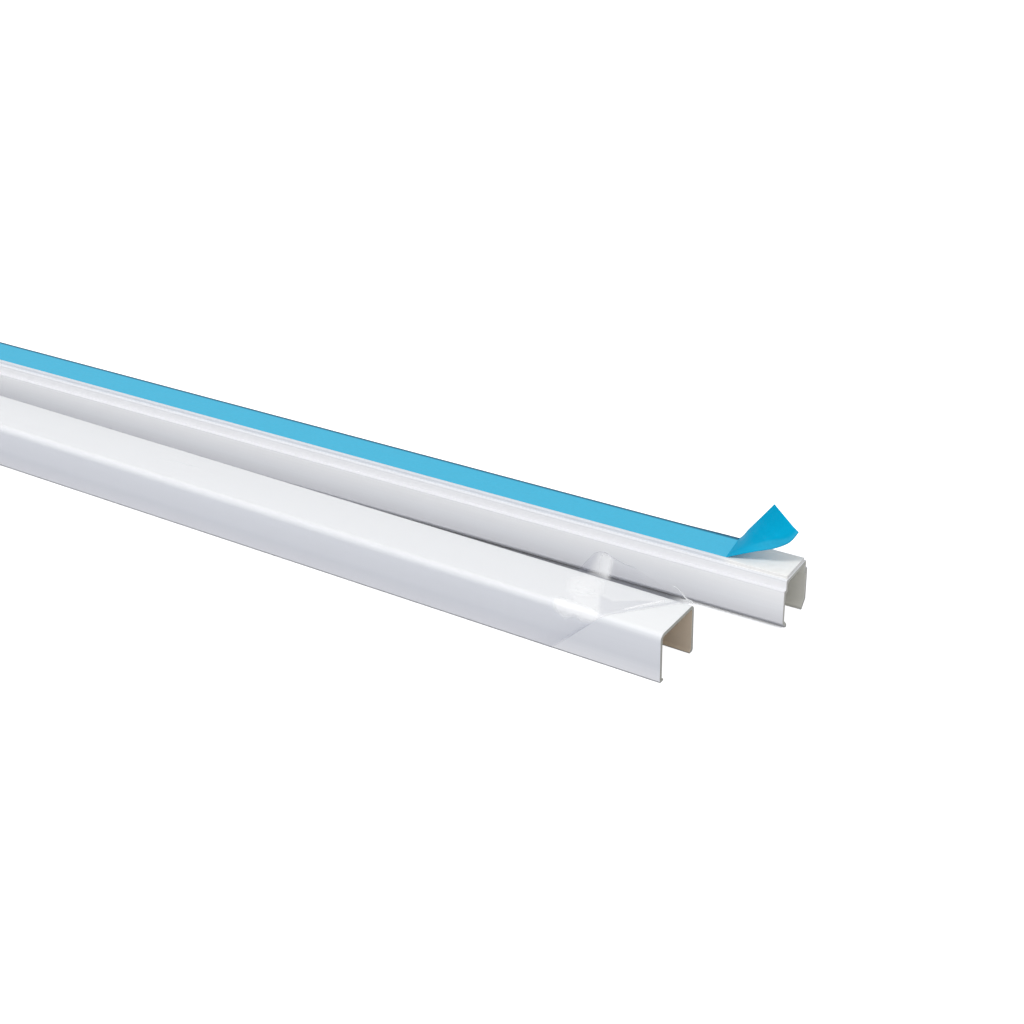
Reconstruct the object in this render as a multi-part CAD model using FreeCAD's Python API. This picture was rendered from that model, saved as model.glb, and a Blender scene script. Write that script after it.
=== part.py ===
# Snap-together cord raceway: a U-shaped base lying on its open side with foam tape and a half-peeled
# liner on its back, and beside it the U-shaped cover that snaps over it, still in its clear film.
import FreeCAD, Part
import math
import os

V = FreeCAD.Vector

# Driving sizes, in mm
length = 400.0            # both channels are cut to one length
wall = 1.3                # wall of both extrusions
cover_width = 22.0
fit_gap = 0.4             # sliding gap between the cover and the base walls, each side
snap_gap = 0.1            # play of the cover's lips under the base's shoulders

# Cover profile
cover_height = 17.6
cover_corner = 2.3        # outer radius of the two long top corners
lip_reach = 1.0           # how far each lip stands inward of its wall
lip_height = 1.3
lip_land = 0.7            # upright part of the lip before its upper slope
foot_round = 0.35         # rounding along the cover's feet
foot_outer_round = 0.8    # the larger rounding on the outside of each foot

# Base profile
shoulder_step = 1.5       # width of the ledge that the lips catch
shoulder_drop = 3.3       # from the back of the base down to the ledge
hook_reach = 3.4          # how far each wall end turns inward
hook_drop = 2.7           # height of the turned-in end
hook_land = 0.6           # flat under the hook, on which the channel lies here
hook_tip = 1.0            # thickness of the hook at its tip
hook_round = 0.2
edge_round = 0.3
back_corner = 0.4

# Foam tape on the base's back
tape_width = 13.8
tape_thick = 1.2
tape_shift = 0.1          # the tape was laid a little off the middle
tape_end_gap = 0.4        # from the tape's ends to the channel's ends

# Liner on the tape, and its lifted end
liner_thick = 0.15
liner_set_in = 1.3        # the liner was laid back this far inside the tape's near edge
liner_overhang = 1.0      # and so stands past the tape's far edge
bare_length = 22.1        # length of tape laid bare at the near end
peel_slant = 1.5          # the peel line runs this much further back at the far edge
near_lead = 0.7           # the lifted end's near edge reaches this much past the bare length
near_rise = 13.5          # how far that edge reaches up and across
near_swing = 4.5
far_lag = 8.7             # its far edge stops this much short of the bare length
far_rise = 18.4
far_swing = -4.0
fold_place = 0.22         # share of its width from the near edge at which the lifted end folds down
fold_height = 2.0         # the fold stands this much above the line between its edges

# Course of the two edges, as shares of run, rise and swing
near_course = [(0, 0, 0), (0.21, 0.17, 0.07), (0.46, 0.35, 0.23), (0.68, 0.49, 0.41),
               (0.855, 0.66, 0.61), (0.94, 0.81, 0.77), (1, 1, 1)]
far_course = [(0, 0, 0), (0.12, 0.1, 0.1), (0.25, 0.25, 0.25), (0.4, 0.4, 0.4),
              (0.6, 0.6, 0.6), (0.8, 0.8, 0.8), (1, 1, 1)]
fold_course = [0, 0.25, 0.5, 1, 1, 0.6, 0.15]

# Clear film on the cover
film_thick = 0.12
film_foot = 0.8           # height of the film's lower edges above the floor
film_bare = 21.0          # length left bare on top, along the corner on the near side
film_bare_far = 0.5       # the same along the far top corner
film_slope = 18.5         # how much further back the film's free edge is at the cover's foot
flap_start = 42.0         # the film has come off the far wall from here to the near end
flap_length = 39.5        # it stands up along the far top edge over this length
flap_height = 9.9
flap_set_in = 1.0         # from the cover's far side to the standing film's foot
flap_lean = 0.8           # its edge leans this far outward
flap_grip = 1.2           # height of the film still round the far top corner there

# Course of the standing film's edge, as shares of its length and height
flap_course = [(0, 0.03), (0.05, 0.46), (0.127, 0.76), (0.228, 1), (0.33, 1), (0.456, 0.91),
               (0.565, 0.8), (0.71, 0.56), (0.85, 0.27), (1, 0.04)]

# How the two channels lie on the floor
cover_set_back = 20.5     # the cover's near end stands back from the base's near end
cover_apart = 24.3        # clear floor between the two channels at the cover's near end
cover_turn = -1.3         # degrees, about the upright axis

# Worked out from the sizes above
base_width = cover_width - 2 * wall - 2 * fit_gap
back_width = base_width - 2 * shoulder_step
base_height = cover_height - wall + shoulder_drop - snap_gap - lip_height
tape_near = tape_shift - tape_width / 2
tape_far = tape_shift + tape_width / 2
tape_top = base_height + tape_thick
near_run = bare_length + near_lead
far_run = bare_length - far_lag


def rounded_face(corners):
    """A face in the YZ plane from (y, z, radius) corners."""
    points = [V(0, y, z) for y, z, radius in corners]
    count = len(points)
    arcs = {}
    ends = []
    for i in range(count):
        here = points[i]
        radius = corners[i][2]
        if radius == 0:
            ends.append((here, here))
            continue
        back = (points[i - 1] - here).normalize()
        ahead = (points[(i + 1) % count] - here).normalize()
        half = back.getAngle(ahead) / 2
        reach = radius / math.tan(half)
        start = here + back * reach
        stop = here + ahead * reach
        top = here + (back + ahead).normalize() * (radius / math.sin(half) - radius)
        arcs[i] = Part.Arc(start, top, stop).toShape()
        ends.append((start, stop))
    outline = []
    for i in range(count):
        if i in arcs:
            outline.append(arcs[i])
        leave = ends[i][1]
        arrive = ends[(i + 1) % count][0]
        if leave.distanceToPoint(arrive) > 1e-6:
            outline.append(Part.makeLine(leave, arrive))
    return Part.Face(Part.Wire(outline))


def both_sides(side):
    """One side's corners, then the same corners on the other side in reverse order."""
    return side + [(-y, z, radius) for y, z, radius in reversed(side)]


def extruded(face):
    """The profile drawn out from the near end, X = 0, toward -X."""
    return face.extrude(V(-length, 0, 0))


def base_channel():
    outer = base_width / 2
    back = back_width / 2
    ledge = base_height - shoulder_drop
    tip = -outer + hook_reach
    side = [
        (-back, base_height, back_corner),
        (-back, ledge, edge_round),
        (-outer, ledge, edge_round),
        (-outer, hook_drop, wall / 2),
        (tip - hook_land, 0, hook_round),
        (tip, 0, hook_round),
        (tip, hook_tip, hook_round),
        (-outer + wall, hook_drop + wall / 2, 0),
        (-outer + wall, ledge - wall, 0),
        (-back + wall, ledge - wall, 0),
        (-back + wall, base_height - wall, edge_round),
    ]
    return extruded(rounded_face(both_sides(side)))


def cover_channel():
    outer = cover_width / 2
    inner = outer - wall
    tip = inner - lip_reach
    side = [
        (-outer, cover_height, cover_corner),
        (-outer, 0, foot_outer_round),
        (-tip, 0, foot_round),
        (-tip, lip_land, foot_round),
        (-inner, lip_height, 0),
        (-inner, cover_height - wall, cover_corner - wall),
    ]
    return extruded(rounded_face(both_sides(side)))


def adhesive_tape():
    run = length - 2 * tape_end_gap
    corner = V(-length + tape_end_gap, tape_near, base_height)
    return Part.makeBox(run, tape_width, tape_thick, corner)


def curved_strip(points, normal, thick):
    """A closed thin section through the points, thickened along the normal."""
    low = Part.BSplineCurve()
    low.interpolate(points)
    high = Part.BSplineCurve()
    high.interpolate([p + normal * thick for p in points])
    side_far = Part.makeLine(points[-1], points[-1] + normal * thick)
    side_near = Part.makeLine(points[0] + normal * thick, points[0])
    top = high.toShape()
    top.reverse()
    return Part.Wire([low.toShape(), side_far, top, side_near])


def along_course(start, run, rise, swing, share):
    """A point of an edge of the lifted end, from its shares of run, rise and swing."""
    return start + V(run * share[0], swing * share[2], rise * share[1])


def lifted_end(near, far):
    """The end of the liner that is pulled up and turned on itself."""
    stations = len(near_course)
    ones = [along_course(near, near_run, near_rise, near_swing, s) for s in near_course]
    twos = [along_course(far, far_run, far_rise, far_swing, s) for s in far_course]
    wires = []
    for k in range(stations):
        across = (twos[k] - ones[k]).normalize()
        before = max(k - 1, 0)
        after = min(k + 1, stations - 1)
        ahead = ones[after] + twos[after] - ones[before] - twos[before]
        normal = ahead.cross(across).normalize()
        if k == 0:
            normal = V(0, 0, 1)
        width = twos[k] - ones[k]
        rise = normal * (fold_height * fold_course[k])
        fold = ones[k] + width * fold_place + rise
        middle = ones[k] + width * 0.62 + rise * 0.5
        wires.append(curved_strip([ones[k], fold, middle, twos[k]], normal, liner_thick))
    return Part.makeLoft(wires, True, False)


def release_liner():
    start = -length + tape_end_gap
    near = V(-tape_end_gap - bare_length, tape_near + liner_set_in, tape_top)
    far = V(near.x - peel_slant, tape_far + liner_overhang, tape_top)
    outline = [V(start, near.y, tape_top), near, far, V(start, far.y, tape_top), V(start, near.y, tape_top)]
    flat = Part.Face(Part.makePolygon(outline)).extrude(V(0, 0, liner_thick))
    return flat.fuse(lifted_end(near, far)).removeSplitter()


def protective_film():
    outer = cover_width / 2
    skin = outer + film_thick
    side = [
        (-skin, cover_height + film_thick, cover_corner + film_thick),
        (-skin, film_foot, 0),
    ]
    inside = [
        (-outer, film_foot, 0),
        (-outer, cover_height, cover_corner),
    ]
    right = [(-y, z, radius) for y, z, radius in inside[::-1]] + [(-y, z, radius) for y, z, radius in side[::-1]]
    sheet = extruded(rounded_face(side + inside + right))
    return sheet.cut(bare_end()).cut(lifted_side()).fuse(standing_film()).removeSplitter()


def bare_end():
    """The block in front of the film's slanting free edge, where the cover is bare."""
    corner = V(-film_bare, -cover_width / 2, cover_height)
    on_top = V(film_bare - film_bare_far, cover_width, 0)
    down_side = V(-film_slope, 0, -cover_height)
    normal = on_top.cross(down_side)
    reach = 4 * cover_width + 2 * film_bare
    block = Part.makeBox(reach, reach, reach, V(-reach / 2, -reach / 2, -reach))
    block.Placement = FreeCAD.Placement(corner, FreeCAD.Rotation(V(0, 0, 1), normal))
    return block


def lifted_side():
    """The block along the far wall where the film has come off it."""
    corner = V(-flap_start, (cover_width - flap_set_in) / 2, 0)
    return Part.makeBox(flap_start + film_bare, cover_width, cover_height - flap_grip, corner)


def standing_film():
    """The film that came off the far wall, standing up along the cover's far top edge."""
    foot = cover_width / 2 - flap_set_in
    base_z = cover_height - cover_corner + math.sqrt(cover_corner ** 2 - (cover_corner - flap_set_in) ** 2)
    wires = []
    for along, tall in flap_course:
        x = -flap_start + flap_length * along
        low = V(x, foot, base_z)
        high = V(x, foot + flap_lean * tall, base_z + flap_height * tall)
        out = V(0, film_thick, 0)
        wires.append(Part.makePolygon([low, high, high + out, low + out, low]))
    return Part.makeLoft(wires, True, True)


def laid_beside(shape):
    """The cover's pieces set down beside the base, a little turned."""
    placed = shape.copy()
    placed.translate(V(0, cover_width / 2, 0))
    placed.rotate(V(0, 0, 0), V(0, 0, 1), cover_turn)
    front = -base_width / 2 - cover_apart - cover_width
    placed.translate(V(-cover_set_back, front, 0))
    return placed


def build():
    return {
        "base_channel": base_channel(),
        "adhesive_tape": adhesive_tape(),
        "release_liner": release_liner(),
        "cover_channel": laid_beside(cover_channel()),
        "protective_film": laid_beside(protective_film()),
    }


pieces = build()
box = Part.makeCompound(list(pieces.values())).optimalBoundingBox(False)
to_origin = V(-box.Center.x, -box.Center.y, -box.ZMin)
os.makedirs("parts", exist_ok=True)
for name, shape in pieces.items():
    shape.translate(to_origin)
    shape.exportStep(os.path.join("parts", name + ".step"))
    print(name, shape.isValid(), len(shape.Solids), round(shape.Volume, 1), shape.BoundBox)
print("shift to the origin", to_origin)
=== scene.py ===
import math

import bmesh
import bpy
from mathutils import Matrix, Vector, noise


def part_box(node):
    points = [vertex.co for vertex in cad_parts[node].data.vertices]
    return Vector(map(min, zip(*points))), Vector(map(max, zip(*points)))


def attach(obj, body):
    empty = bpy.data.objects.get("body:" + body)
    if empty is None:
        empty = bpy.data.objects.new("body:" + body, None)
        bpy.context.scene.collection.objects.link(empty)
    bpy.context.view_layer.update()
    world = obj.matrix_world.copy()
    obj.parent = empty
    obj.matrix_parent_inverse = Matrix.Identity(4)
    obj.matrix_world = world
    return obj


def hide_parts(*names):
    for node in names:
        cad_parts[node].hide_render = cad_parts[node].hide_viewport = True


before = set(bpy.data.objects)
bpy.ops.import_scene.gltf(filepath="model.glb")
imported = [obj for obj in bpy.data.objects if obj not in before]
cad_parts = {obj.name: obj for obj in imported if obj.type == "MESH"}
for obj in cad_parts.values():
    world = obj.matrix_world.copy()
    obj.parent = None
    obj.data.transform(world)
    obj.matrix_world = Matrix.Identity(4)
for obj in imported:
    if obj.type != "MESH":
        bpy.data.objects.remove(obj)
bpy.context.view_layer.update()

# All places are in metres; sizes written in millimetres are multiplied by MM.
MM = 0.001

# Profiles of the two extrusions, in millimetres
WALL = 1.3
COVER_CORNER = 2.3
LIP_REACH = 1.0
LIP_HEIGHT = 1.3
LIP_LAND = 0.7
FOOT_ROUND = 0.35
FOOT_OUTER_ROUND = 0.8
SHOULDER_STEP = 1.5
SHOULDER_DROP = 3.3
HOOK_REACH = 3.4
HOOK_DROP = 2.7
HOOK_LAND = 0.6
HOOK_TIP = 1.0
HOOK_ROUND = 0.2
EDGE_ROUND = 0.3
BACK_CORNER = 0.4
SAW_EDGE = 0.12           # the cut ends' edges are broken by this much
ARC_STEPS = 7

# The cover lies beside the base, a little turned
COVER_WIDTH = 22.0
COVER_TURN = math.radians(-1.3)

# Liner: where it leaves the tape, and the course of its lifted end
LINER_THICK = 0.12
NEAR_EDGE_REACH = (22.8, 4.5, 13.5)
FAR_EDGE_REACH = (13.4, -4.0, 18.4)
PEEL_BACK = (22.5, 24.0)  # from the base's near end to the peel line, near edge and far edge
FOLD_PLACE = 0.22         # share of the width from the near edge at which the lifted end folds down
FOLD_HEIGHT = 2.0

# Film: the free edge's places on the cover, from the cover's near end
FILM_THICK = 0.05
FILM_FOOT = 0.8
BARE_NEAR = 21.0
BARE_FAR = 0.5
BARE_SLOPE = 18.5


def srgb(code):
    """An sRGB hex colour as linear red, green, blue and alpha."""
    parts = [int(code[i:i + 2], 16) / 255 for i in (1, 3, 5)]
    linear = [p / 12.92 if p <= 0.04045 else ((p + 0.055) / 1.055) ** 2.4 for p in parts]
    return (*linear, 1.0)


# Shared shape tools

def rounded_outline(corners):
    """Points (y, z, kind) round a profile given as (y, z, radius, kind) corners, kind being its face's."""
    count = len(corners)
    points = []
    for i in range(count):
        here = Vector(corners[i][:2])
        radius, kind = corners[i][2:]
        if radius == 0:
            points.append((here.x, here.y, kind))
            continue
        back = (Vector(corners[i - 1][:2]) - here).normalized()
        ahead = (Vector(corners[(i + 1) % count][:2]) - here).normalized()
        half = back.angle(ahead) / 2
        reach = radius / math.tan(half)
        centre = here + (back + ahead).normalized() * (radius / math.sin(half))
        start = here + back * reach - centre
        stop = here + ahead * reach - centre
        turn = start.angle_signed(stop)
        for k in range(ARC_STEPS + 1):
            spoke = start.copy()
            spoke.rotate(Matrix.Rotation(-turn * k / ARC_STEPS, 2))
            spot = centre + spoke
            points.append((spot.x, spot.y, kind))
    return points


def new_object(name, mesh, materials):
    piece = bpy.data.objects.new(name, mesh)
    bpy.context.scene.collection.objects.link(piece)
    for material in materials:
        mesh.materials.append(material)
    return piece


def mesh_from(name, bm):
    mesh = bpy.data.meshes.new(name)
    bm.normal_update()
    bm.to_mesh(mesh)
    bm.free()
    return mesh


def break_edges(piece):
    """Broken edges at the cut ends, and shading that keeps the long faces flat."""
    faces = piece.data.polygons
    faces.foreach_set("use_smooth", [True] * len(faces))
    bevel = piece.modifiers.new("broken_edges", "BEVEL")
    bevel.width = SAW_EDGE * MM
    bevel.segments = 2
    bevel.limit_method = "ANGLE"
    bevel.angle_limit = math.radians(60)
    bevel.harden_normals = True


def sheet_faces(bm, spots):
    """Smooth faces between neighbouring rows of vertices."""
    for one, two in zip(spots, spots[1:]):
        for j in range(len(one) - 1):
            face = bm.faces.new((one[j], two[j], two[j + 1], one[j + 1]))
            face.smooth = True


def thicken(piece, thickness):
    """A thin film's thickness, outward from its drawn face."""
    solid = piece.modifiers.new("film_thickness", "SOLIDIFY")
    solid.thickness = thickness * MM
    solid.offset = 1


def curve_point(course, share):
    """A point at the given share of a smooth curve through evenly counted points."""
    last = len(course) - 1
    place = min(max(share, 0), 1) * last
    k = min(int(place), last - 1)
    t = place - k
    a = course[max(k - 1, 0)]
    b = course[k]
    c = course[k + 1]
    d = course[min(k + 2, last)]
    bow = 2 * a - 5 * b + 4 * c - d
    swing = 3 * b - a - 3 * c + d
    return 0.5 * (2 * b + (c - a) * t + bow * t * t + swing * t ** 3)


def ease(low, high, value):
    """A soft step from 0 at low to 1 at high."""
    t = min(max((value - low) / (high - low), 0), 1)
    return t * t * (3 - 2 * t)


# Materials

def add(tree, kind, inputs=(), **settings):
    """A node of one kind, with its settings, and its inputs linked to a socket or set to a value."""
    node = tree.nodes.new(kind)
    for name, value in settings.items():
        if hasattr(node, name):
            setattr(node, name, value)
        else:
            node.inputs[name.replace("_", " ")].default_value = value
    for name, source in dict(inputs).items():
        if isinstance(source, bpy.types.NodeSocket):
            tree.links.new(source, node.inputs[name])
        else:
            node.inputs[name].default_value = source
    return node


def material_tree(name):
    """An empty node tree on a new material, with its output node."""
    material = bpy.data.materials.new(name)
    material.use_nodes = True
    tree = material.node_tree
    tree.nodes.clear()
    return material, tree, tree.nodes.new("ShaderNodeOutputMaterial")


# Colours of the white PVC by height above the floor, in mm, with light and shade painted in: each wall is
# painted a little greyer toward its foot as shade, the base's also at its ledge and back corner; the cover's
# walls are painted lighter again just above the foot, as light from the floor
BASE_LIGHT_AND_SHADE_TONES = [(2.0, "#DADADD"), (8.0, "#F0F1F3"), (14.3, "#FEFEFE"), (14.75, "#EAEAED"), (15.0, "#EAEAED"),
              (15.4, "#F9F9FA"), (17.4, "#FEFEFF"), (18.0, "#EAEBEE")]
# The cover's darkest colour, at 0.4 mm, is a painted contact shadow along its foot
COVER_LIGHT_AND_SHADE_TONES = [(0.4, "#8A8C92"), (0.8, "#EEEEF1"), (6.0, "#DCDEE3"), (14.8, "#E1E3E8"), (16.6, "#E8EAED"),
               (17.2, "#EFF0F2"), (17.5, "#F5F6F6")]
# The insides are painted warm, as light passed through the plastic
BASE_INSIDE_WARM_LIGHT_TONES = [(0.0, "#FCFAF0"), (15.0, "#FAF8EE")]
COVER_INSIDE_WARM_LIGHT_TONES = [(0.0, "#F6E6D0"), (15.0, "#F2E2CC")]
TONE_SPAN = 18.2


def extruded_pvc(name, light_and_shade_tones, turn, roughness):
    """Rigid PVC, extruded: a satin skin with faint die lines along its length and slow waves, with light and
    shade painted into its colour by height.
    """
    material, tree, output = material_tree(name)
    place = add(tree, "ShaderNodeTexCoord").outputs["Object"]
    along = add(tree, "ShaderNodeMapping", {"Vector": place}, Rotation=(0, 0, -turn))
    # Die lines 0.5 mm apart, coarser than real so that they show, waves 8 mm wide and a grain of 0.2 mm
    lines_map = add(tree, "ShaderNodeMapping", {"Vector": along.outputs[0]}, Scale=(8, 1900, 1900))
    die_lines = add(tree, "ShaderNodeTexNoise", {"Vector": lines_map.outputs[0]}, Scale=1.0, Detail=2.0)
    wave_map = add(tree, "ShaderNodeMapping", {"Vector": along.outputs[0]}, Scale=(45, 130, 130))
    waves = add(tree, "ShaderNodeTexNoise", {"Vector": wave_map.outputs[0]}, Scale=1.0, Detail=1.0)
    grain = add(tree, "ShaderNodeTexNoise", {"Vector": place}, Scale=6000.0, Detail=2.0)
    line_bump = add(tree, "ShaderNodeBump", {"Height": die_lines.outputs["Fac"]},
                    Strength=0.25, Distance=0.04 * MM)
    wave_bump = add(tree, "ShaderNodeBump", {"Height": waves.outputs["Fac"], "Normal": line_bump.outputs[0]},
                    Strength=0.4, Distance=0.1 * MM)
    # Painted light and shade: the colour follows the height above the floor
    height = add(tree, "ShaderNodeSeparateXYZ", {"Vector": place}).outputs["Z"]
    share = add(tree, "ShaderNodeMath", {0: height, 1: 1 / (TONE_SPAN * MM)}, operation="MULTIPLY")
    tone = add(tree, "ShaderNodeValToRGB", {"Fac": share.outputs[0]})
    ramp = tone.color_ramp
    while len(ramp.elements) < len(light_and_shade_tones):
        ramp.elements.new(0.5)
    for stop, (z, colour) in zip(ramp.elements, light_and_shade_tones):
        stop.position = z / TONE_SPAN
        stop.color = srgb(colour)
    streak = add(tree, "ShaderNodeMapRange", {"Value": die_lines.outputs["Fac"]}, To_Min=0.975, To_Max=1.015)
    streaked = add(tree, "ShaderNodeVectorMath", {0: tone.outputs["Color"], 1: streak.outputs["Result"]},
                   operation="MULTIPLY")
    gloss = add(tree, "ShaderNodeMapRange", {"Value": grain.outputs["Fac"]},
                To_Min=roughness - 0.04, To_Max=roughness + 0.06)
    surface = add(tree, "ShaderNodeBsdfPrincipled", {
        "Base Color": streaked.outputs[0],
        "Roughness": gloss.outputs["Result"],
        "Normal": wave_bump.outputs[0],
    }, IOR=1.53)
    tree.links.new(surface.outputs[0], output.inputs["Surface"])
    return material


def cut_pvc(name, colour, scratch):
    """PVC sheared or sawn across: matt and rougher than the skin, with saw marks, its colour painted a little
    warmer and darker as the shade on the cut ends.
    """
    material, tree, output = material_tree(name)
    place = add(tree, "ShaderNodeTexCoord").outputs["Object"]
    # Saw marks 0.2 mm apart across the wall's height
    scratches_map = add(tree, "ShaderNodeMapping", {"Vector": place}, Scale=(300, 300, 5000))
    scratches = add(tree, "ShaderNodeTexNoise", {"Vector": scratches_map.outputs[0]}, Scale=1.0, Detail=3.0)
    bump = add(tree, "ShaderNodeBump", {"Height": scratches.outputs["Fac"]},
               Strength=0.4, Distance=0.04 * MM)
    tone = add(tree, "ShaderNodeValToRGB", {"Fac": scratches.outputs["Fac"]})
    tone.color_ramp.elements[0].color = srgb(scratch)
    tone.color_ramp.elements[1].color = srgb(colour)
    surface = add(tree, "ShaderNodeBsdfPrincipled", {
        "Base Color": tone.outputs["Color"],
        "Normal": bump.outputs[0],
    }, Roughness=0.55, IOR=1.53)
    tree.links.new(surface.outputs[0], output.inputs["Surface"])
    return material


def foam_tape():
    """Polyethylene foam tape: off-white, fine closed cells, with a slight shine from its adhesive skin."""
    material, tree, output = material_tree("polyethylene_foam_tape")
    place = add(tree, "ShaderNodeTexCoord").outputs["Object"]
    # Cells of 0.3 mm, a little coarser than real so that they show, and a mottle of about 2.5 mm
    cells = add(tree, "ShaderNodeTexVoronoi", {"Vector": place}, Scale=3200.0)
    mottle = add(tree, "ShaderNodeTexNoise", {"Vector": place}, Scale=420.0, Detail=4.0)
    bump = add(tree, "ShaderNodeBump", {"Height": cells.outputs["Distance"]},
               Strength=0.35, Distance=0.06 * MM)
    slow = add(tree, "ShaderNodeBump", {"Height": mottle.outputs["Fac"], "Normal": bump.outputs[0]},
               Strength=0.5, Distance=0.2 * MM)
    tone = add(tree, "ShaderNodeValToRGB", {"Fac": mottle.outputs["Fac"]})
    tone.color_ramp.elements[0].position = 0.3
    tone.color_ramp.elements[0].color = srgb("#F6F5F1")
    tone.color_ramp.elements[1].position = 0.7
    tone.color_ramp.elements[1].color = srgb("#FEFDFA")
    # The strip that stays open beside the liner is painted greyer than the tape laid bare at the near end, as
    # shade
    beside = add(tree, "ShaderNodeAttribute", attribute_name="painted_shade_beside_liner")
    toned = add(tree, "ShaderNodeMixRGB", {
        "Fac": beside.outputs["Fac"],
        "Color1": tone.outputs["Color"],
        "Color2": srgb("#E1E5EA"),
    })
    surface = add(tree, "ShaderNodeBsdfPrincipled", {
        "Base Color": toned.outputs[0],
        "Normal": slow.outputs[0],
    }, Roughness=0.5, IOR=1.47)
    tree.links.new(surface.outputs[0], output.inputs["Surface"])
    return material


def siliconised_liner():
    """Blue polyethylene liner, siliconised: strong blue where lifted, painted paler where it lies on the tape
    as a sheen, and with a painted reflection of the tape below the lifted end's fold.
    """
    material, tree, output = material_tree("siliconised_polyethylene_liner")
    place = add(tree, "ShaderNodeTexCoord").outputs["Object"]
    # Ripples 4 mm wide and 8 mm long, and a speckle of about 1 mm
    ripple_map = add(tree, "ShaderNodeMapping", {"Vector": place}, Scale=(120, 260, 260))
    ripples = add(tree, "ShaderNodeTexNoise", {"Vector": ripple_map.outputs[0]}, Scale=1.0, Detail=3.0)
    mottle = add(tree, "ShaderNodeTexNoise", {"Vector": place}, Scale=900.0, Detail=3.0)
    bump = add(tree, "ShaderNodeBump", {"Height": ripples.outputs["Fac"]}, Strength=0.4, Distance=0.3 * MM)
    painted_reflection = add(tree, "ShaderNodeAttribute", attribute_name="painted_reflection")
    tone = add(tree, "ShaderNodeMixRGB", {
        "Fac": painted_reflection.outputs["Fac"],
        "Color1": srgb("#00A6D0"),
        "Color2": srgb("#4BBBDE"),
    })
    # Painted shade along the liner's far edge
    painted_edge_shade = add(tree, "ShaderNodeAttribute", attribute_name="painted_edge_shade")
    edged = add(tree, "ShaderNodeMixRGB", {
        "Fac": painted_edge_shade.outputs["Fac"],
        "Color1": tone.outputs[0],
        "Color2": srgb("#1F5F7C"),
    })
    speckle = add(tree, "ShaderNodeMapRange", {"Value": mottle.outputs["Fac"]}, To_Min=0.95, To_Max=1.05)
    speckled = add(tree, "ShaderNodeVectorMath", {0: edged.outputs[0], 1: speckle.outputs["Result"]},
                   operation="MULTIPLY")
    surface = add(tree, "ShaderNodeBsdfPrincipled", {
        "Base Color": speckled.outputs[0],
        "Normal": bump.outputs[0],
    }, Roughness=0.28, IOR=1.38, Specular_IOR_Level=0.1)
    tree.links.new(surface.outputs[0], output.inputs["Surface"])
    return material


# How much of the film is seen: where it lies flat, where it is white with milk and painted highlights, and
# where it is grey with its tint and painted shade
CLEAR_ALPHA = 0.012
WHITENESS_ALPHA = 0.75
GREY_ALPHA = 0.35
SCATTERED = 0.88          # how much less of it is seen by the light than by the eye


def clear_film():
    """Clear polyethylene film: nearly unseen where flat, white where stretched and with painted highlights on
    its bulges, creases and edges, grey with painted shade where it curls.
    """
    material, tree, output = material_tree("clear_polyethylene_film")
    place = add(tree, "ShaderNodeTexCoord").outputs["Object"]
    whiteness = add(tree, "ShaderNodeAttribute", attribute_name="milk_and_highlight").outputs["Fac"]
    grey = add(tree, "ShaderNodeAttribute", attribute_name="tint_and_painted_shade").outputs["Fac"]
    # Haze in patches of about 6 mm
    haze = add(tree, "ShaderNodeTexNoise", {"Vector": place}, Scale=160.0, Detail=2.0)
    haze_share = add(tree, "ShaderNodeMapRange", {"Value": haze.outputs["Fac"]},
                     From_Min=0.3, From_Max=0.6, To_Min=0.93, To_Max=1.0)
    hazy = add(tree, "ShaderNodeMath", {0: whiteness, 1: haze_share.outputs["Result"]}, operation="MULTIPLY")
    white_part = add(tree, "ShaderNodeMath", {0: hazy.outputs[0], 1: WHITENESS_ALPHA}, operation="MULTIPLY")
    shade_part = add(tree, "ShaderNodeMath", {0: grey, 1: GREY_ALPHA, 2: CLEAR_ALPHA},
                    operation="MULTIPLY_ADD")
    alpha = add(tree, "ShaderNodeMath", {0: white_part.outputs[0], 1: shade_part.outputs[0]}, operation="ADD")
    white_share = add(tree, "ShaderNodeMath", {0: white_part.outputs[0], 1: alpha.outputs[0]},
                      operation="DIVIDE")
    tone = add(tree, "ShaderNodeMixRGB", {
        "Fac": white_share.outputs[0],
        "Color1": srgb("#9A9DB0"),
        "Color2": srgb("#FFFFFF"),
    })
    # The film scatters light onward, so it shades what is under it far less than it hides it
    path = add(tree, "ShaderNodeLightPath")
    lighting = add(tree, "ShaderNodeMath", {
        0: path.outputs["Is Shadow Ray"],
        1: path.outputs["Is Diffuse Ray"],
    }, operation="MAXIMUM")
    blocked = add(tree, "ShaderNodeMath", {0: lighting.outputs[0], 1: -SCATTERED, 2: 1.0},
                  operation="MULTIPLY_ADD")
    shown = add(tree, "ShaderNodeMath", {0: alpha.outputs[0], 1: blocked.outputs[0]}, operation="MULTIPLY")
    surface = add(tree, "ShaderNodeBsdfPrincipled", {
        "Base Color": tone.outputs[0],
        "Alpha": shown.outputs[0],
    }, Roughness=0.15, IOR=1.5)
    tree.links.new(surface.outputs[0], output.inputs["Surface"])
    return material


# The two extrusions, and the order of the materials on each
OUTSIDE = 0
INSIDE = 1
CUT_END = 2


def channel(name, side, length, to_place, materials):
    """A channel drawn out along -X from its near end, with its ends cut square."""
    outline = rounded_outline(closed_profile(side))
    bm = bmesh.new()
    near = [bm.verts.new(to_place @ Vector((0, y * MM, z * MM))) for y, z, kind in outline]
    far = [bm.verts.new(to_place @ Vector((-length, y * MM, z * MM))) for y, z, kind in outline]
    count = len(outline)
    for i in range(count):
        j = (i + 1) % count
        face = bm.faces.new((near[i], near[j], far[j], far[i]))
        face.material_index = outline[i][2]
    for ring in (near, far):
        face = bm.faces.new(ring)
        face.material_index = CUT_END
    bmesh.ops.recalc_face_normals(bm, faces=bm.faces)
    piece = new_object(name, mesh_from(name, bm), materials)
    break_edges(piece)
    return piece


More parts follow.
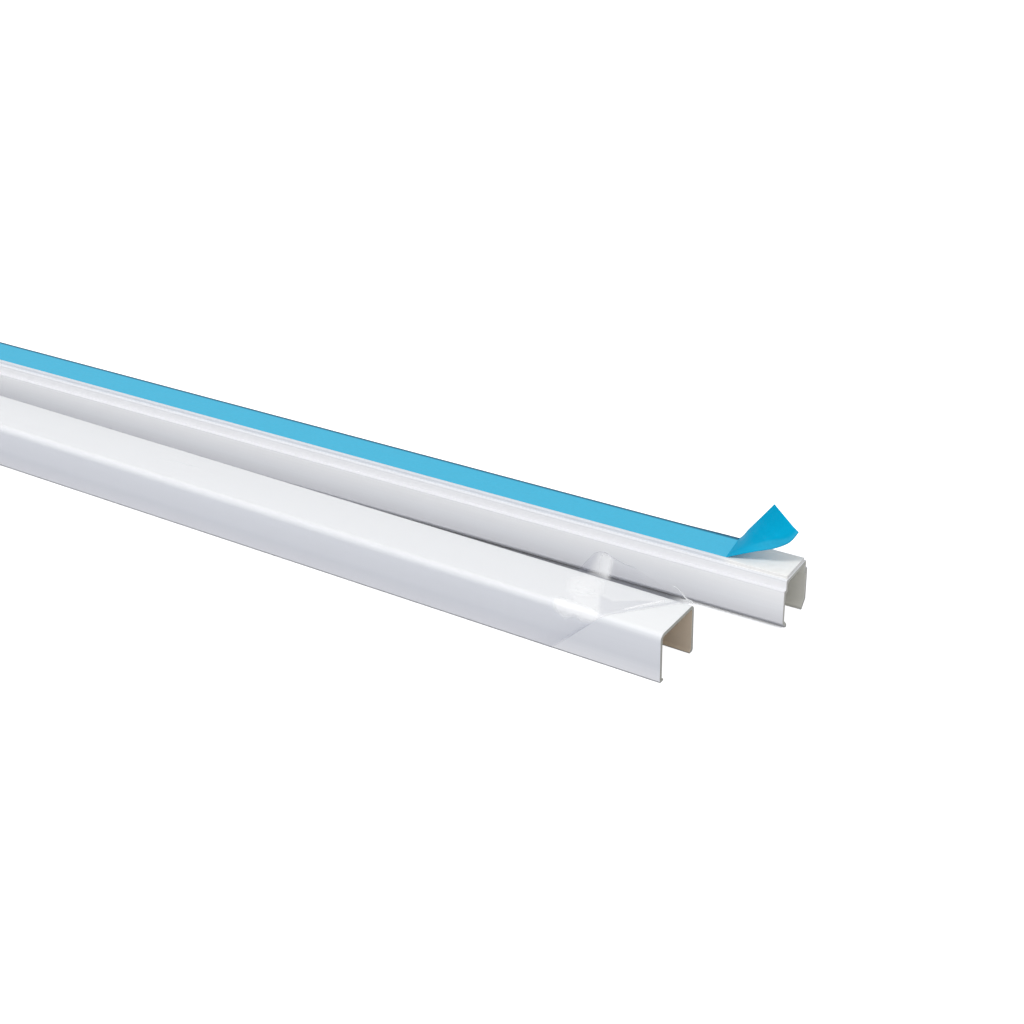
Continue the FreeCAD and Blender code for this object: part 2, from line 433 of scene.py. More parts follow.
def base_corners(width, height):
    """Half of the base's profile; the last figure says which face follows: OUTSIDE or INSIDE."""
    outer = width / 2
    back = outer - SHOULDER_STEP
    ledge = height - SHOULDER_DROP
    tip = -outer + HOOK_REACH
    return [
        (-back, height, BACK_CORNER, OUTSIDE),
        (-back, ledge, EDGE_ROUND, OUTSIDE),
        (-outer, ledge, EDGE_ROUND, OUTSIDE),
        (-outer, HOOK_DROP, WALL / 2, OUTSIDE),
        (tip - HOOK_LAND, 0, HOOK_ROUND, OUTSIDE),
        (tip, 0, HOOK_ROUND, INSIDE),
        (tip, HOOK_TIP, HOOK_ROUND, INSIDE),
        (-outer + WALL, HOOK_DROP + WALL / 2, 0, INSIDE),
        (-outer + WALL, ledge - WALL, 0, INSIDE),
        (-back + WALL, ledge - WALL, 0, INSIDE),
        (-back + WALL, height - WALL, EDGE_ROUND, INSIDE),
    ]


def cover_corners(width, height):
    """Half of the cover's profile, with the same figure."""
    outer = width / 2
    inner = outer - WALL
    tip = inner - LIP_REACH
    return [
        (-outer, height, COVER_CORNER, OUTSIDE),
        (-outer, 0, FOOT_OUTER_ROUND, OUTSIDE),
        (-tip, 0, FOOT_ROUND, INSIDE),
        (-tip, LIP_LAND, FOOT_ROUND, INSIDE),
        (-inner, LIP_HEIGHT, 0, INSIDE),
        (-inner, height - WALL, COVER_CORNER - WALL, INSIDE),
    ]


def closed_profile(side):
    """A whole profile from one side's corners, each with the kind of face that follows it."""
    other = []
    for i in range(len(side) - 1, -1, -1):
        y, z, radius, kind = side[i]
        follows = side[i - 1][3] if i > 0 else OUTSIDE
        other.append((-y, z, radius, follows))
    return side + other


def build_base(materials):
    low, high = (Vector(c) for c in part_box("base_channel"))
    middle = (low.y + high.y) / 2
    place = Matrix.Translation((high.x, middle, 0))
    side = base_corners((high.y - low.y) / MM, high.z / MM)
    piece = channel("base_profile", side, high.x - low.x, place, materials)
    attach(piece, "root")
    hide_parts("base_channel")
    return place


def cover_place():
    """From the cover's own axes, near end at X = 0 and middle at Y = 0, to the frame."""
    low, high = (Vector(c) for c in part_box("cover_channel"))
    corner = Vector((high.x + COVER_WIDTH * MM * math.sin(COVER_TURN), low.y, 0))
    half = Matrix.Translation((0, COVER_WIDTH * MM / 2, 0))
    return Matrix.Translation(corner) @ Matrix.Rotation(COVER_TURN, 4, "Z") @ half


def build_cover(place, length, materials):
    side = cover_corners(COVER_WIDTH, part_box("cover_channel")[1][2] / MM)
    piece = channel("cover_profile", side, length, place, materials)
    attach(piece, "root")
    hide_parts("cover_channel")


# Tape and liner

TAPE_ROUND = 0.12
TAPE_WANDER = 0.1


def build_tape(material):
    """The foam tape, with soft cut edges that wander a little."""
    low, high = (Vector(c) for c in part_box("adhesive_tape"))
    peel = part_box("base_channel")[1][0] - PEEL_BACK[0] * MM
    bm = bmesh.new()
    painted_shade_beside_liner = bm.verts.layers.float.new("painted_shade_beside_liner")
    stations = 160
    round_over = TAPE_ROUND * MM
    rings = []
    for k in range(stations + 1):
        x = low.x + (high.x - low.x) * k / stations
        wander = TAPE_WANDER * MM * noise.noise(Vector((x * 90, 3.1, 0)))
        front = low.y + TAPE_WANDER * MM + wander
        rear = high.y - TAPE_WANDER * MM + wander
        outline = [
            (front, low.z), (front, high.z - round_over), (front + round_over, high.z),
            (rear - round_over, high.z), (rear, high.z - round_over), (rear, low.z),
        ]
        ring = [bm.verts.new((x, y, z)) for y, z in outline]
        # The open strip beside the liner gets painted shade, up to the peel line
        for vertex in ring[:3]:
            vertex[painted_shade_beside_liner] = ease(peel + 2 * MM, peel - 2 * MM, x)
        rings.append(ring)
    for one, two in zip(rings, rings[1:]):
        for j in range(6):
            bm.faces.new((one[j], two[j], two[(j + 1) % 6], one[(j + 1) % 6]))
    bm.faces.new(rings[0])
    bm.faces.new(rings[-1][::-1])
    bmesh.ops.recalc_face_normals(bm, faces=bm.faces)
    piece = new_object("foam_tape", mesh_from("foam_tape", bm), [material])
    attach(piece, "root")
    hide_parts("adhesive_tape")


NEAR_COURSE = [(0, 0, 0), (0.21, 0.07, 0.17), (0.46, 0.23, 0.35), (0.68, 0.41, 0.49),
               (0.855, 0.61, 0.66), (0.94, 0.77, 0.81), (1, 1, 1)]
FAR_COURSE = [(0, 0, 0), (0.12, 0.1, 0.1), (0.25, 0.25, 0.25), (0.4, 0.4, 0.4),
              (0.6, 0.6, 0.6), (0.8, 0.8, 0.8), (1, 1, 1)]
FOLD_COURSE = [0, 0.25, 0.5, 1, 1, 0.6, 0.15]
FOLD_SOFTNESS = 0.12
DROOP_WIDTH = 0.8           # the overhanging far edge of the liner hangs down a little
DROOP_DEPTH = 0.3
# The liner's far edge is painted as a thin dark line of shade
FAR_EDGE_SHADE = (1.0, 1.9)  # the far edge reads as a thin dark line, which fades inward by these, in mm
# Below its fold the lifted end is painted paler: a painted reflection of the white tape
PAINTED_TAPE_REFLECTION = 0.36    # below its fold the lifted end mirrors the white tape
LINER_COLUMNS = 28
FLAT_ROWS = 150
FLAP_ROWS = 44


def scaled_course(start, reach, shares):
    """Points of one edge of the lifted end."""
    return [start + Vector([r * s * MM for r, s in zip(reach, share)]) for share in shares]


def fold_shape(v):
    """Height across the lifted end, as a share of its fold's: two planes that meet in a soft fold."""
    one = v / FOLD_PLACE
    two = (1 - v) / (1 - FOLD_PLACE)
    return -FOLD_SOFTNESS * math.log(math.exp(-one / FOLD_SOFTNESS) + math.exp(-two / FOLD_SOFTNESS))


def flat_liner_rows(low, near, far):
    """The liner as it lies on the tape, with a slight swell and a drooping far edge."""
    shares = [k / FLAT_ROWS for k in range(FLAT_ROWS)] + [0.9985, 0.9996]
    rows = []
    for share in shares:
        row = []
        for j in range(LINER_COLUMNS + 1):
            end = near.lerp(far, j / LINER_COLUMNS)
            start = Vector((low.x, end.y, end.z))
            spot = start.lerp(end, share)
            swell = noise.noise(Vector((spot.x * 60, spot.y * 160, 0)))
            spot.z += 0.05 * MM * (0.5 + 0.5 * swell)
            to_edge = (end.y - far.y) / MM + DROOP_WIDTH
            if to_edge > 0:
                spot.z -= DROOP_DEPTH * MM * (to_edge / DROOP_WIDTH) ** 2 * ease(1, 0.93, share)
            row.append(spot)
        rows.append(row)
    return rows


def lifted_liner_rows(near, far):
    """The lifted end between the courses of its two edges, folded along the near one."""
    near_course = scaled_course(near, NEAR_EDGE_REACH, NEAR_COURSE)
    far_course = scaled_course(far, FAR_EDGE_REACH, FAR_COURSE)
    step = 0.01
    rows = []
    for k in range(FLAP_ROWS + 1):
        share = k / FLAP_ROWS
        one = curve_point(near_course, share)
        two = curve_point(far_course, share)
        ahead = curve_point(near_course, share + step) + curve_point(far_course, share + step) - one - two
        if share + step > 1:
            ahead = one + two - curve_point(near_course, share - step) - curve_point(far_course, share - step)
        across = (two - one).normalized()
        normal = ahead.cross(across).normalized()
        place = share * (len(FOLD_COURSE) - 1)
        b = min(int(place), len(FOLD_COURSE) - 2)
        tall = FOLD_COURSE[b] + (FOLD_COURSE[b + 1] - FOLD_COURSE[b]) * (place - b)
        row = []
        for j in range(LINER_COLUMNS + 1):
            v = j / LINER_COLUMNS
            rise = fold_shape(v) * tall * FOLD_HEIGHT * MM
            row.append(one.lerp(two, v) + normal * rise)
        rows.append(row)
    return rows


def build_liner(material):
    """The liner: flat along the tape, then lifted and turned on itself at the near end."""
    low, high = (Vector(c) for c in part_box("release_liner"))
    base_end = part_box("base_channel")[1][0]
    near = Vector((base_end - PEEL_BACK[0] * MM, low.y, low.z))
    far = Vector((base_end - PEEL_BACK[1] * MM, high.y, low.z))
    flat = flat_liner_rows(low, near, far)
    lifted = lifted_liner_rows(near, far)
    bm = bmesh.new()
    bm.verts.layers.float.new("painted_reflection")
    bm.verts.layers.float.new("painted_edge_shade")
    painted_reflection = bm.verts.layers.float["painted_reflection"]
    painted_edge_shade = bm.verts.layers.float["painted_edge_shade"]
    spots = [[bm.verts.new(p) for p in row] for row in flat + lifted]
    sheet_faces(bm, spots)
    # The flat liner is painted paler: a painted sheen
    for row in spots[:len(flat)]:
        for vertex in row:
            vertex[painted_reflection] = 1.0
            vertex[painted_edge_shade] = ease(FAR_EDGE_SHADE[1], FAR_EDGE_SHADE[0], (high.y - vertex.co.y) / MM)
    # A painted reflection of the tape in a band below the lifted end's fold
    for k, row in enumerate(spots[len(flat):]):
        share = k / FLAP_ROWS
        border = FOLD_PLACE * (1 - 0.65 * ease(0.5, 0.9, share))
        for j, vertex in enumerate(row):
            below_fold = ease(border + 0.04, border - 0.04, j / LINER_COLUMNS)
            vertex[painted_reflection] = PAINTED_TAPE_REFLECTION * below_fold * ease(0.15, 0.5, share)
    piece = new_object("liner_strip", mesh_from("liner_strip", bm), [material])
    thicken(piece, LINER_THICK)
    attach(piece, "root")
    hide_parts("release_liner")


# Clear film on the cover

def skin_runs(height):
    """Distances round the cover's skin from its near foot: to its far corner's middle and far foot."""
    wall = height - COVER_CORNER - FILM_FOOT
    bend = COVER_CORNER * math.pi / 2
    top = COVER_WIDTH - 2 * COVER_CORNER
    return wall + bend + top + bend / 2, 2 * wall + 2 * bend + top


def skin_point(around, height):
    """A point and outward normal on the cover's skin, by distance round it from the near foot, in mm."""
    half = COVER_WIDTH / 2
    wall = height - COVER_CORNER - FILM_FOOT
    bend = COVER_CORNER * math.pi / 2
    top = COVER_WIDTH - 2 * COVER_CORNER
    if around <= wall:
        return Vector((-half, FILM_FOOT + around)), Vector((-1, 0))
    if around <= wall + bend:
        turn = (around - wall) / COVER_CORNER
        normal = Vector((-math.cos(turn), math.sin(turn)))
        return Vector((-half + COVER_CORNER, height - COVER_CORNER)) + normal * COVER_CORNER, normal
    if around <= wall + bend + top:
        return Vector((-half + COVER_CORNER + around - wall - bend, height)), Vector((0, 1))
    if around <= wall + 2 * bend + top:
        turn = (around - wall - bend - top) / COVER_CORNER
        normal = Vector((math.sin(turn), math.cos(turn)))
        return Vector((half - COVER_CORNER, height - COVER_CORNER)) + normal * COVER_CORNER, normal
    return Vector((half, height - COVER_CORNER - (around - wall - 2 * bend - top))), Vector((1, 0))


def free_edge(spot, height):
    """Where the film ends along the cover, for a point (y, z) of its skin, in mm from the near end."""
    down = (height - spot.y) / height
    across = (spot.x + COVER_WIDTH / 2) / COVER_WIDTH
    return -(BARE_NEAR + (BARE_FAR - BARE_NEAR) * across) - BARE_SLOPE * down


# Places on the film: x in mm from the cover's near end, and u in mm across the top from its near
# corner, or down the near wall where u is below 0
CORNER_AROUND = 16.3      # that corner's middle, by distance round the skin from the near foot
# Bright patches, crease and fold are painted highlights and sheen; the shaded crease, field and band are
# painted shade
BRIGHT_CORNER = [(-38.5, 1.5), (-38, -1.6), (-34.6, -3.7), (-30.4, -1.9), (-28.4, -2.9), (-23.8, -2.1),
                 (-21.8, -0.3), (-24, 1.7), (-30, 2.2), (-36, 2.2)]
BRIGHT_TOP = [(-38.7, 9.1), (-40.7, 13.7), (-38.1, 19.4), (-31.9, 18.9), (-28.3, 11.3), (-29.7, 8),
              (-33.5, 6.6), (-36.4, 7.3)]
BRIDGE = [(-34.5, 7.6), (-28.5, 9.5), (-22.5, 0.5), (-30, 1.0), (-34.5, 2.2)]
SHADED_CREASE = [(-38, 3.1), (-31.7, 3.7)]
FOLD_LINE = [(-31.5, 18.3), (-28.2, 10.6), (-21.9, -0.7)]
SHADED_FIELD = [(-28.2, 10.6), (-22.6, 9.2), (-15.5, 13.9), (-11, 16.1), (-14.2, 10.6), (-17.8, 5.2),
              (-21.9, -0.2)]
BRIGHT_CREASE = [(-16.8, 7.1), (-13.2, 12.3), (-8.9, 17.7)]
SHADED_BAND = [(-18.8, 2.2), (-15, 8.2), (-7.8, 15.6), (-4.9, 19.3)]
LONG_WRINKLES = [(-212, 11.2), (-206, 12.4), (-200, 12.6)]


def line_share(x, y, line, width):
    """1 on a broken line, falling softly to 0 at its half width."""
    spot = Vector((x, y))
    least = width
    for one, two in zip(line, line[1:]):
        a = Vector(one)
        way = Vector(two) - a
        t = min(max((spot - a).dot(way) / way.length_squared, 0), 1)
        least = min(least, (a + way * t - spot).length)
    return ease(width, 0, least)


def patch_share(x, y, corners, soft):
    """1 inside a patch, 0 outside it, with a soft border of the given half width."""
    inside = False
    spot = Vector((x, y))
    least = 1e9
    for i, one in enumerate(corners):
        two = corners[i - 1]
        a = Vector(one)
        way = Vector(two) - a
        t = min(max((spot - a).dot(way) / way.length_squared, 0), 1)
        least = min(least, (a + way * t - spot).length)
        if (one[1] > y) != (two[1] > y) and x < (two[0] - one[0]) * (y - one[1]) / (two[1] - one[1]) + one[0]:
            inside = not inside
    return ease(-soft, soft, least if inside else -least)


TOP_GREY = 0.1
FOOT_GREY = 0.14
CORNER_SHEEN = 0.14
CALM_FROM = -60.0         # further from the near end than this the film lies flat


def film_shape(x, around, edge):
    """How far the film stands off the cover's skin at a place, in mm, how white it is with painted highlights
    and how grey with painted shade.
    """
    u = around - CORNER_AROUND
    lift = 0.1 + 0.04 * (1 + noise.noise(Vector((x * 0.07, around * 0.12, 1.7))))
    from_edge = edge - x
    flat_grey = TOP_GREY * ease(-0.5, 1.0, u) + FOOT_GREY * ease(-8, -15, u)
    # A painted sheen along the near top corner
    sheen = CORNER_SHEEN * math.exp(-(u / 1.3) ** 2)
    if x < CALM_FROM:
        wrinkle = line_share(x, u, LONG_WRINKLES, 1.0) * (0.5 + 0.5 * math.sin(x * 2.2))
        return lift + 0.25 * wrinkle, max(0.35 * wrinkle, sheen), flat_grey
    xr = x + 0.5 * noise.noise(Vector((x * 0.2, around * 0.2, 5.0)))
    ur = u + 0.5 * noise.noise(Vector((x * 0.2, around * 0.2, 9.0)))
    # Painted highlights in the bright patches, crease and fold, painted shade in the shaded band, field and
    # crease
    corner = patch_share(xr, ur, BRIGHT_CORNER, 1.3)
    top = patch_share(xr, ur, BRIGHT_TOP, 2.2)
    bridge = patch_share(xr, ur, BRIDGE, 1.8)
    crease = line_share(x, u, BRIGHT_CREASE, 0.55)
    fold = line_share(x, u, FOLD_LINE, 0.7)
    band = line_share(x, u, SHADED_BAND, 0.9)
    field = patch_share(x, u, SHADED_FIELD, 0.8)
    shaded = line_share(x, u, SHADED_CREASE, 1.1)
    corner *= 0.6 + 0.4 * ease(-1, 0.6, u)
    whiteness = max(corner, 0.36 * top, 0.32 * bridge, 0.9 * crease, 0.2 * fold, sheen)
    grey = flat_grey + max(0.3 * band, 0.22 * field, 0.12 * shaded)
    lift += 0.1 * crease + 0.06 * fold + 0.05 * field
    if u < 0:
        # Painted shade where the free edge curls off the near wall, and a painted highlight along that edge
        curl = math.exp(-from_edge / 1.3) * ease(0, -5, u) * (0.35 + 0.65 * ease(-17, -9, u))
        broad = 0.2 * math.exp(-from_edge / 5) * ease(-1, -6, u)
        grey += max(0.6 * curl, broad)
        whiteness = max(whiteness, 0.5 * math.exp(-from_edge / 0.25) * ease(-9, -13, u))
        lift = min(lift + 0.2 * curl, 0.32)
    else:
        # A painted highlight along the free edge on the top
        rim = math.exp(-from_edge / 0.35)
        whiteness = max(whiteness, 0.45 * rim)
        lift += 0.25 * rim
    return lift, whiteness, grey * max(0, 1 - 2 * whiteness)


def film_patch(bm, rows):
    """A patch of film from rows of (place, milkiness, greyness)."""
    milk_and_highlight = bm.verts.layers.float["milk_and_highlight"]
    tint_and_painted_shade = bm.verts.layers.float["tint_and_painted_shade"]
    spots = []
    for row in rows:
        line = []
        for place, whiteness, grey in row:
            vertex = bm.verts.new(place)
            vertex[milk_and_highlight] = whiteness
            vertex[tint_and_painted_shade] = grey
            line.append(vertex)
        spots.append(line)
    sheet_faces(bm, spots)


COARSE_STEPS = 40
FINE_STEPS = 130
FINE_RUN = 50.0           # the film is drawn finely over this length, in mm, before its free edge


def step_places(low, high):
    """Places from low to high, in long steps and then in short ones over the fine run."""
    turn = high - FINE_RUN
    places = [low + (turn - low) * k / COARSE_STEPS for k in range(COARSE_STEPS)]
    return places + [turn + FINE_RUN * k / FINE_STEPS for k in range(FINE_STEPS + 1)]


def drawn_film(bm, place, far_end, height):
    """The film that shows: stuck round the near wall and top, loose near its free edge."""
    columns = 150
    reach = skin_runs(height)[0]
    rows = [[] for k in range(COARSE_STEPS + FINE_STEPS + 1)]
    far_line = []
    for j in range(columns + 1):
        around = reach * j / columns
        spot, normal = skin_point(around, height)
        edge = free_edge(spot, height)
        for k, x in enumerate(step_places(far_end, edge)):
            lift, whiteness, grey = film_shape(x, around, edge)
            out = spot + normal * lift
            rows[k].append((place @ Vector((x * MM, out.x * MM, out.y * MM)), whiteness, grey))
            if j == columns:
                far_line.append((x, out.x, out.y))
    film_patch(bm, rows)
    return far_line


def far_wall_film(bm, place, far_end, height):
    """The film down the far wall, up to where it comes off and stands."""
    columns = 30
    start, whole = skin_runs(height)
    rows = [[] for k in range(COARSE_STEPS + FINE_STEPS + 1)]
    for j in range(columns + 1):
        around = start + (whole - start) * j / columns
        spot, normal = skin_point(around, height)
        edge = FLAP_START - 0.6 * (around - start)
        for k, x in enumerate(step_places(far_end, edge)):
            lift = 0.1 + 0.05 * (1 + noise.noise(Vector((x * 0.07, around * 0.12, 1.7))))
            out = spot + normal * lift
            whiteness = 0.6 * math.exp((x - edge) / 0.8)
            rows[k].append((place @ Vector((x * MM, out.x * MM, out.y * MM)), whiteness, 0.0))
    film_patch(bm, rows)


def build_film(place, length, material):
    """The film: stuck round the cover, loose near its free edge, and standing up along the far top edge."""
    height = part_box("cover_channel")[1][2] / MM
    far_end = -length / MM + 0.05
    bm = bmesh.new()
    bm.verts.layers.float.new("milk_and_highlight")
    bm.verts.layers.float.new("tint_and_painted_shade")
    far_line = drawn_film(bm, place, far_end, height)
    far_wall_film(bm, place, far_end, height)
    add_standing_flap(bm, place, far_line)
    add_shreds(bm, place)
    piece = new_object("cover_film", mesh_from("cover_film", bm), [material])
    thicken(piece, FILM_THICK)
    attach(piece, "root")
    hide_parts("protective_film")


def between(table, x):
    """The value at x of a table of (x, value), joined by straight runs."""
    for (x0, v0), (x1, v1) in zip(table, table[1:]):
        if x <= x1:
            return v0 + (v1 - v0) * max(0, (x - x0) / (x1 - x0))
    return table[-1][1]


# The standing film's edge (x, z), its patch of painted sheen, the painted shade on the side left of that, and
# a painted shade to its right, as seen from the front
FLAP_START = -42.3
FLAP_END = -2.5
FLAP_EDGE = [(-42.3, 17.0), (-40.2, 20.1), (-37.8, 23.4), (-36.5, 25.2), (-34.4, 26.4), (-32.1, 26.8),
             (-29.2, 25.9), (-25.6, 25.1), (-19.7, 24.1), (-14, 22), (-8.5, 19.6), (-2.5, 17.4)]
FLAP_SHEEN = [(-34.9, 25.3), (-32.8, 26.4), (-29.2, 26), (-30.2, 22), (-31, 17), (-37.8, 17), (-37.2, 20.1)]
FLAP_LEFT_SHADE = [(-42.3, 17), (-37.8, 23.6), (-36, 25.6), (-33, 26.9), (-34.9, 25.3), (-37.2, 20.1), (-37.8, 17)]
FLAP_SHADE = [(-30.5, 17), (-29, 25.8), (-24, 24.7), (-19, 23.8), (-20, 17)]


def add_standing_flap(bm, place, far_line):
    """The film that came off the far wall: it stands up along the top edge and leans out over it."""
    rows = []
    steps = 120
    tall_steps = 30
    foot_y = [(x, y) for x, y, z in far_line if FLAP_START - 1 <= x]
    foot_z = [(x, z) for x, y, z in far_line if FLAP_START - 1 <= x]
    for k in range(steps + 1):
        x = FLAP_START + (FLAP_END - FLAP_START) * k / steps
        y = between(foot_y, x)
        z = between(foot_z, x)
        top = max(between(FLAP_EDGE, x) - z, 0.15)
        bulge = math.exp(-((x + 33.5) / 3.4) ** 2)
        row = []
        for j in range(tall_steps + 1):
            v = j / tall_steps
            up = z + top * v
            ripple = 0.3 * math.sin(x * 0.8) * v * ease(-28, -22, x)
            # Painted sheen on the bulge, painted shade beside it, and a painted dark line along the top edge
            whiteness = patch_share(x, up, FLAP_SHEEN, 1.5) * (0.25 + 0.3 * ease(-37, -30.5, x))
            grey = max(0.25 * patch_share(x, up, FLAP_LEFT_SHADE, 1.0), 0.1 * patch_share(x, up, FLAP_SHADE, 3.5))
            rim = ease(top - 0.35, top, top * v) * ease(-18.5, -24, x)
            grey = max(grey * (1 - whiteness), 0.8 * rim)
            out = y + math.sin(v * math.pi * 0.9) * bulge * 1.2 + ripple
            row.append((place @ (Vector((x, out, up)) * MM), whiteness * (1 - rim), grey))
        rows.append(row)
    film_patch(bm, rows)


# Torn strands at the far near corner, as (x, y, z) from the cover's near end and middle
STRANDS = [
    [(-0.4, 10.7, 17.5), (-2.2, 10.9, 18.0), (-4.0, 11.0, 19.2), (-5.6, 11.0, 20.8), (-7.6, 11.2, 21.6)],
    [(-0.8, 10.6, 17.5), (-2.4, 10.9, 18.6), (-3.4, 11.0, 19.0), (-4.4, 11.1, 20.4)],
    [(-3.4, 10.6, 17.6), (-2.2, 10.7, 18.5), (-1.0, 10.8, 18.3), (-0.3, 10.8, 17.4)],
    [(-4.6, 10.5, 17.6), (-3.2, 10.8, 18.0), (-2.0, 10.9, 17.6), (-0.6, 10.9, 18.4)],
    [(-0.2, 10.4, 17.6), (-0.9, 10.6, 18.6), (-2.0, 10.6, 18.1), (-2.9, 10.8, 18.9)],
]
STRAND_WIDTHS = (0.5, 0.3, 0.42, 0.36, 0.32)


def add_shreds(bm, place):
    """Torn strands of film, each a narrow ribbon that thins toward its tip."""
    steps = 24
    for course, wide in zip(STRANDS, STRAND_WIDTHS):
        line = [Vector(p) for p in course]
        rows = []
        for i in range(steps + 1):
            t = i / steps
            spot = curve_point(line, t)
            heading = curve_point(line, min(t + 0.02, 1)) - curve_point(line, t - 0.02)
            side = heading.cross(Vector((0, 1, 0.3))).normalized() * wide * (1 - 0.7 * t) / 2
            rows.append([(place @ ((spot + side * s) * MM), 0.95, 0.0) for s in (-1, 0, 1)])
        film_patch(bm, rows)


# Stage, lamps and camera

FLOOR_HALF = 6.0
FLOOR_GLOW = 0.9
# A painted shadow on the floor in the gap between the channels, and a painted contact shade from ambient
# occlusion
CONTACT_REACH = 8.0       # how near a part must be to darken the floor, in mm
GAP_NEAR = (-17.0, -2.0)  # the floor darkens toward the base's near foot in the gap, by these, in mm
GAP_FAR = (6.0, 4.0)      # and is light again this far behind that foot
GAP_END = (-9.0, -22.0)   # the dark ends softly this far short of the cover's near end
GAP_START = (4.0, 40.0)   # and begins this far from the base's far end
GAP_SHADOW_DARKNESS = 0.88


def gap_shadow_share(tree):
    """Where the floor's painted shadow lies: 1 in the gap between the channels, at the base's foot, with soft
    borders.
    """
    spot = add(tree, "ShaderNodeSeparateXYZ", {"Vector": add(tree, "ShaderNodeTexCoord").outputs["Object"]})
    base_start, base_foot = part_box("base_channel")[0][:2]
    cover_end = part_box("cover_channel")[1][0]
    borders = [("Y", base_foot, GAP_NEAR), ("Y", base_foot, GAP_FAR),
               ("X", base_start, GAP_START), ("X", cover_end, GAP_END)]
    share = 1.0
    for axis, edge, (outside, inside) in borders:
        step = add(tree, "ShaderNodeMapRange", {"Value": spot.outputs[axis]}, interpolation_type="SMOOTHSTEP",
                   From_Min=edge + outside * MM, From_Max=edge + inside * MM)
        within = add(tree, "ShaderNodeMath", {0: share, 1: step.outputs["Result"]}, operation="MULTIPLY")
        share = within.outputs[0]
    return share


def build_floor():
    """A pale floor that reads as white and takes the object's shadow, with a painted shadow in the gap and a
    painted contact shade, darkest where they touch.
    """
    material, tree, output = material_tree("pale_floor")
    path = add(tree, "ShaderNodeLightPath")
    seen = add(tree, "ShaderNodeMath", {
        0: path.outputs["Is Camera Ray"],
        1: path.outputs["Is Transmission Ray"],
    }, operation="MAXIMUM")
    # Painted contact shade: ambient occlusion darkens the floor's glow and tone where parts touch
    near = add(tree, "ShaderNodeAmbientOcclusion", samples=6, Distance=CONTACT_REACH * MM)
    open_share = add(tree, "ShaderNodeMapRange", {"Value": near.outputs["AO"]}, From_Min=0.1, From_Max=0.32)
    out_of_gap = add(tree, "ShaderNodeMath", {0: gap_shadow_share(tree), 1: -GAP_SHADOW_DARKNESS, 2: 1.0},
                     operation="MULTIPLY_ADD")
    light_share = add(tree, "ShaderNodeMath", {0: open_share.outputs["Result"], 1: out_of_gap.outputs[0]},
                      operation="MINIMUM")
    seen_light = add(tree, "ShaderNodeMath", {0: seen.outputs[0], 1: light_share.outputs[0]},
                     operation="MULTIPLY")
    strength = add(tree, "ShaderNodeMath", {0: seen_light.outputs[0], 1: FLOOR_GLOW}, operation="MULTIPLY")
    # Only the eye sees the painted shadow's dark tones, so that they don't darken what stands on the floor
    unseen = add(tree, "ShaderNodeMath", {0: 1.0, 1: path.outputs["Is Camera Ray"]}, operation="SUBTRACT")
    pale_share = add(tree, "ShaderNodeMath", {0: light_share.outputs[0], 1: unseen.outputs[0]},
                     operation="MAXIMUM")
    tone = add(tree, "ShaderNodeMixRGB", {
        "Fac": pale_share.outputs[0],
        "Color1": srgb("#4A4E58"),
        "Color2": srgb("#C2C3C6"),
    })
    matt = add(tree, "ShaderNodeBsdfDiffuse", {"Color": tone.outputs[0]})
    glow = add(tree, "ShaderNodeEmission", {"Strength": strength.outputs[0]}, Color=(1, 1, 1, 1))
    both = add(tree, "ShaderNodeAddShader", {0: matt.outputs[0], 1: glow.outputs[0]})
    tree.links.new(both.outputs[0], output.inputs["Surface"])
    bm = bmesh.new()
    bmesh.ops.create_grid(bm, x_segments=1, y_segments=1, size=FLOOR_HALF)
    floor = new_object("floor", mesh_from("floor", bm), [material])


# The room as the object's gloss sees it, bright from above and behind and dark near the floor's level,
# and as it lights the object, more from above and in front than from behind
ROOM_BRIGHT = (0.0, 0.4, 0.917)
ROOM_EDGE = (0.36, 0.56)
ROOM_LEAST = 0.01
ROOM_MOST = 1.0
LIGHT_FROM = (0.14, -0.44, 0.887)
LIGHT_EDGE = (-0.6, 1.0)
LIGHT_LEAST = 0.22
LIGHT_MOST = 0.81


def toward(tree, heading, axis, edge, least, most):
    """A strength that rises from least to most, within its edge, as a direction turns toward the axis."""
    share = add(tree, "ShaderNodeVectorMath", {0: heading, 1: axis}, operation="DOT_PRODUCT")
    strength = add(tree, "ShaderNodeMapRange", {"Value": share.outputs["Value"]},
                   From_Min=edge[0], From_Max=edge[1], To_Min=least, To_Max=most)
    return strength.outputs["Result"]


